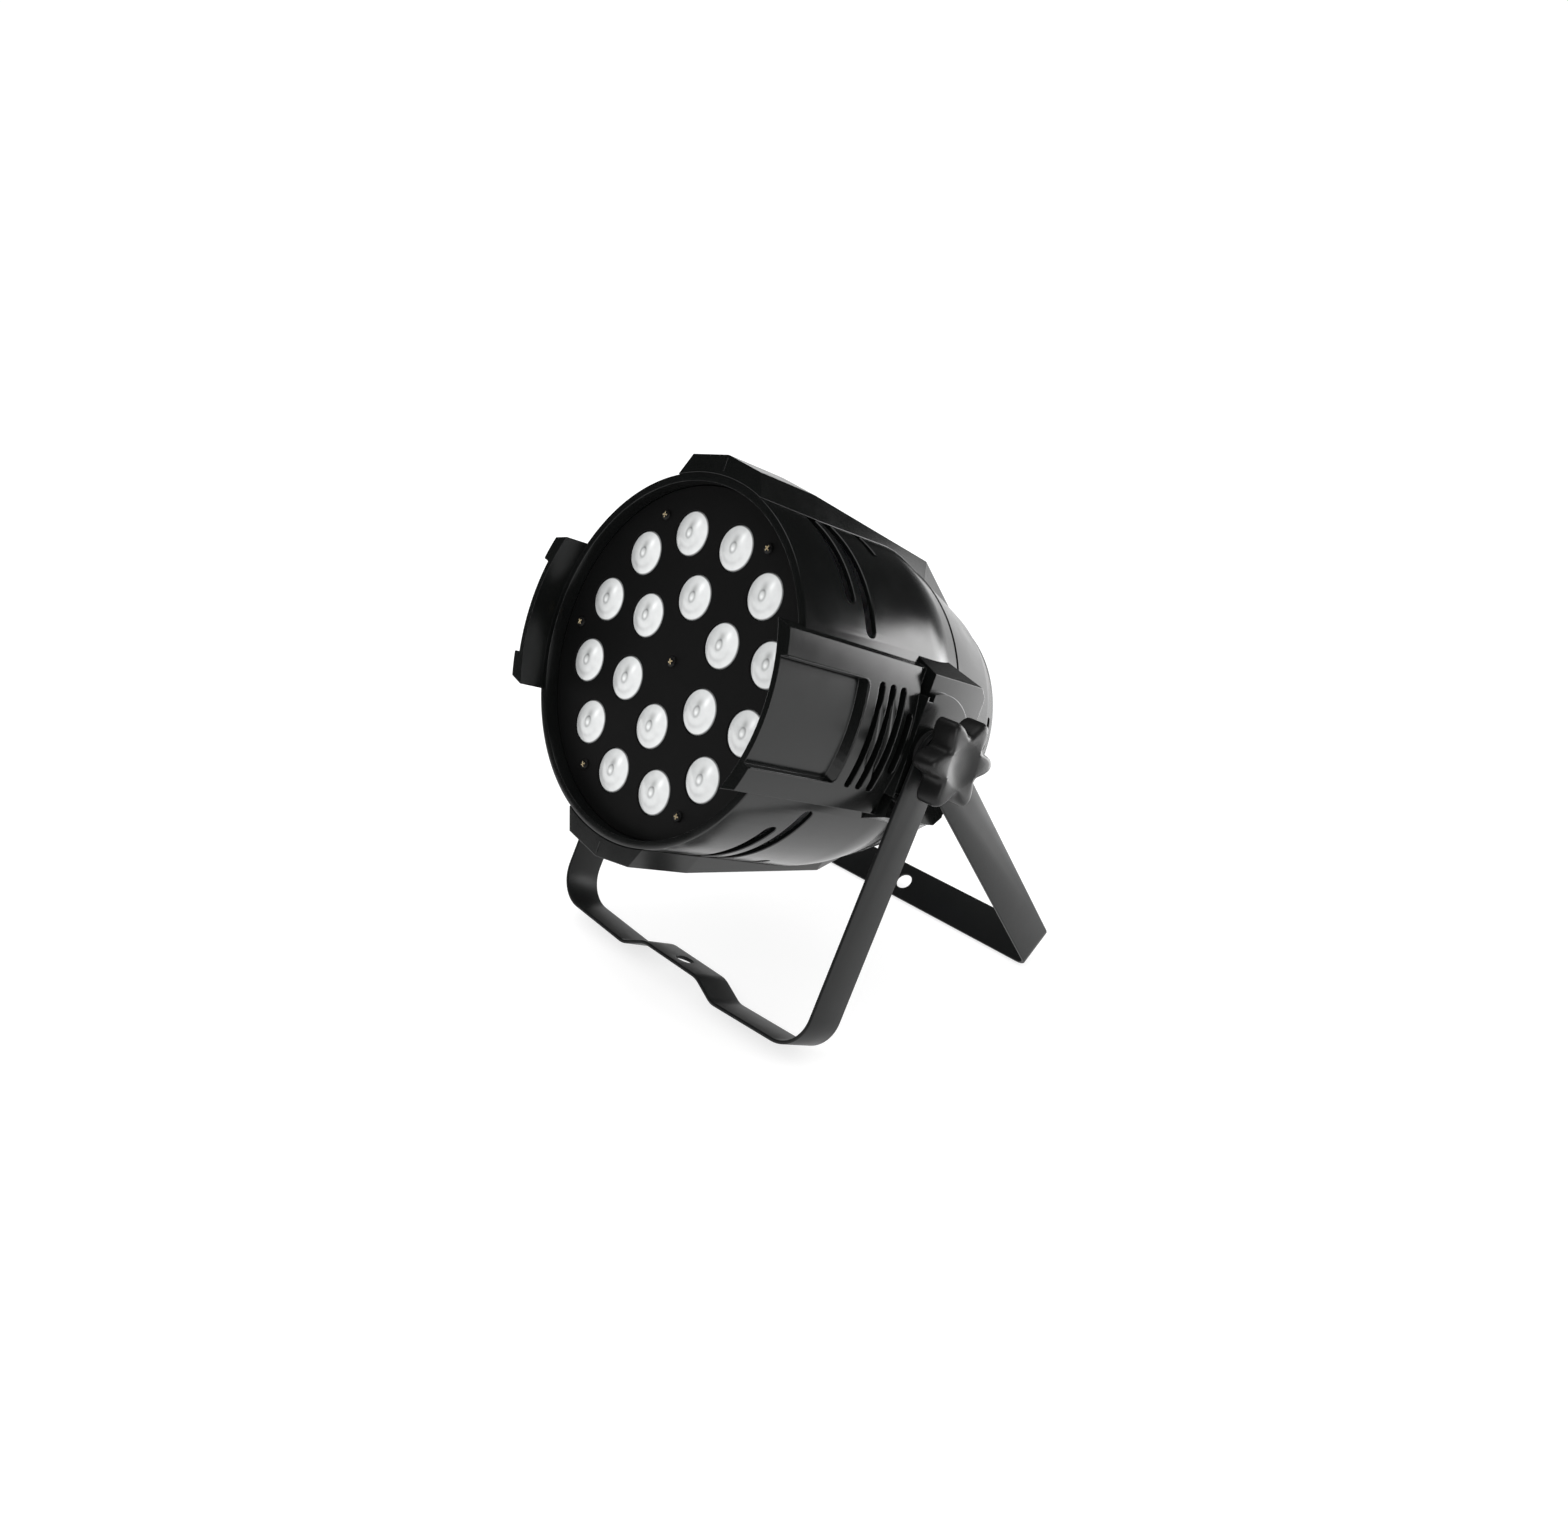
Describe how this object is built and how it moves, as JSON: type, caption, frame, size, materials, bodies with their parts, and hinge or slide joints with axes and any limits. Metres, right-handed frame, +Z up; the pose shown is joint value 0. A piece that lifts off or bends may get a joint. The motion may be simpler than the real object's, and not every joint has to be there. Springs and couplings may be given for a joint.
{
  "type": "par can light",
  "caption": "Black LED par can stage light with a round lens face, side vents, control panel and two folding brackets clamped by star knobs.",
  "frame": {"origin": "on the floor, under the centre of the light's bounding box", "axes": "+Z up; the lens face looks towards -Y and up; the pivot axis runs along X"},
  "size_m": [0.3136, 0.3144, 0.3631],
  "materials": {
    "housing": "satin black coating on formed aluminium",
    "cover": "satin black coating on cast aluminium",
    "face": "matte black paint",
    "strap": "fine black powder coat",
    "knob": "satin black moulded plastic",
    "lens": "clear moulded acrylic, frosted look",
    "holder": "black moulded plastic",
    "led": "silicone dome on a ceramic package",
    "white_board": "white solder mask",
    "green_board": "green solder mask",
    "blue_board": "blue solder mask",
    "bare_aluminium": "plain extruded",
    "zinc_steel": "zinc plated",
    "screw": "nickel plated",
    "fan": "black moulded plastic",
    "panel": "fine black powder coat",
    "display": "dark red tinted window",
    "button": "black moulded plastic",
    "connector": "black chromed zinc",
    "inlet": "blue moulded plastic",
    "outlet": "light grey moulded plastic",
    "brass": "turned",
    "friction": "fibre and rubber washer"
  },
  "bodies": {
    "front_stand": {"front_bracket": "strap"},
    "rear_stand": {"rear_bracket": "strap"},
    "head": {"front_housing": "housing", "rear_housing": "housing", "top_rib": "cover", "bottom_rib": "cover", "right_cover": "cover", "left_cover": "cover", "led_plate": "face", "plate_screws": "screw", "lenses": "lens", "lens_holders": "holder", "led_packages": "led", "led_board": "white_board", "standoffs": "bare_aluminium", "heatsink": "bare_aluminium", "chassis_plate": "zinc_steel", "fan_frame": "fan", "power_supply": "green_board", "driver_board": "blue_board", "rear_panel": "panel", "panel_screws": "screw", "tie_screws": "screw", "display_window": "display", "display_board": "green_board", "signal_input": "connector", "signal_pins": "brass", "signal_output": "connector", "power_inlet": "inlet", "power_outlet": "outlet", "connector_screws": "screw", "fuse_holder": "holder", "safety_loop": "zinc_steel", "pivot_inserts": "brass", "friction_washers": "friction"},
    "fan": {"fan_rotor": "fan"},
    "menu_key": {"menu_button": "button"},
    "down_key": {"down_button": "button"},
    "up_key": {"up_button": "button"},
    "enter_key": {"enter_button": "button"},
    "right_clamp": {"right_washer": "zinc_steel"},
    "left_clamp": {"left_washer": "zinc_steel"},
    "right_grip": {"right_knob": "knob", "right_stud": "zinc_steel"},
    "left_grip": {"left_knob": "knob", "left_stud": "zinc_steel"}
  },
  "joints": [
    {"name": "rear_fold", "type": "hinge", "parent": "front_stand", "child": "rear_stand", "pos_m": [0, 0.00147, 0.19803], "axis": [1, 0, 0], "range_deg": [-61.5, 118.5]},
    {"name": "head_tilt", "type": "hinge", "parent": "front_stand", "child": "head", "pos_m": [0, 0.00147, 0.19803], "axis": [1, 0, 0], "continuous": true},
    {"name": "fan_spin", "type": "hinge", "parent": "head", "child": "fan", "pos_m": [0, 0.00147, 0.19803], "axis": [0, -0.9348, 0.3551], "continuous": true},
    {"name": "menu_press", "type": "slide", "parent": "head", "child": "menu_key", "axis": [0, -0.9348, 0.3551], "range_m": [0, 0.0012], "stiffness_N_per_m": 400, "springref_m": -0.001},
    {"name": "down_press", "type": "slide", "parent": "head", "child": "down_key", "axis": [0, -0.9348, 0.3551], "range_m": [0, 0.0012], "stiffness_N_per_m": 400, "springref_m": -0.001},
    {"name": "up_press", "type": "slide", "parent": "head", "child": "up_key", "axis": [0, -0.9348, 0.3551], "range_m": [0, 0.0012], "stiffness_N_per_m": 400, "springref_m": -0.001},
    {"name": "enter_press", "type": "slide", "parent": "head", "child": "enter_key", "axis": [0, -0.9348, 0.3551], "range_m": [0, 0.0012], "stiffness_N_per_m": 400, "springref_m": -0.001},
    {"name": "right_back_off", "type": "slide", "parent": "head", "child": "right_clamp", "axis": [1, 0, 0], "range_m": [0, 0.0045]},
    {"name": "right_knob_turn", "type": "hinge", "parent": "right_clamp", "child": "right_grip", "pos_m": [0, 0.00147, 0.19803], "axis": [1, 0, 0], "range_deg": [0, 1080]},
    {"name": "left_back_off", "type": "slide", "parent": "head", "child": "left_clamp", "axis": [-1, 0, 0], "range_m": [0, 0.0045]},
    {"name": "left_knob_turn", "type": "hinge", "parent": "left_clamp", "child": "left_grip", "pos_m": [0, 0.00147, 0.19803], "axis": [-1, 0, 0], "range_deg": [0, 1080]}
  ],
  "couplings": [
    {"joint": "right_back_off", "follows": "right_knob_turn", "m_per_rad": 0.0002387},
    {"joint": "left_back_off", "follows": "left_knob_turn", "m_per_rad": 0.0002387}
  ]
}
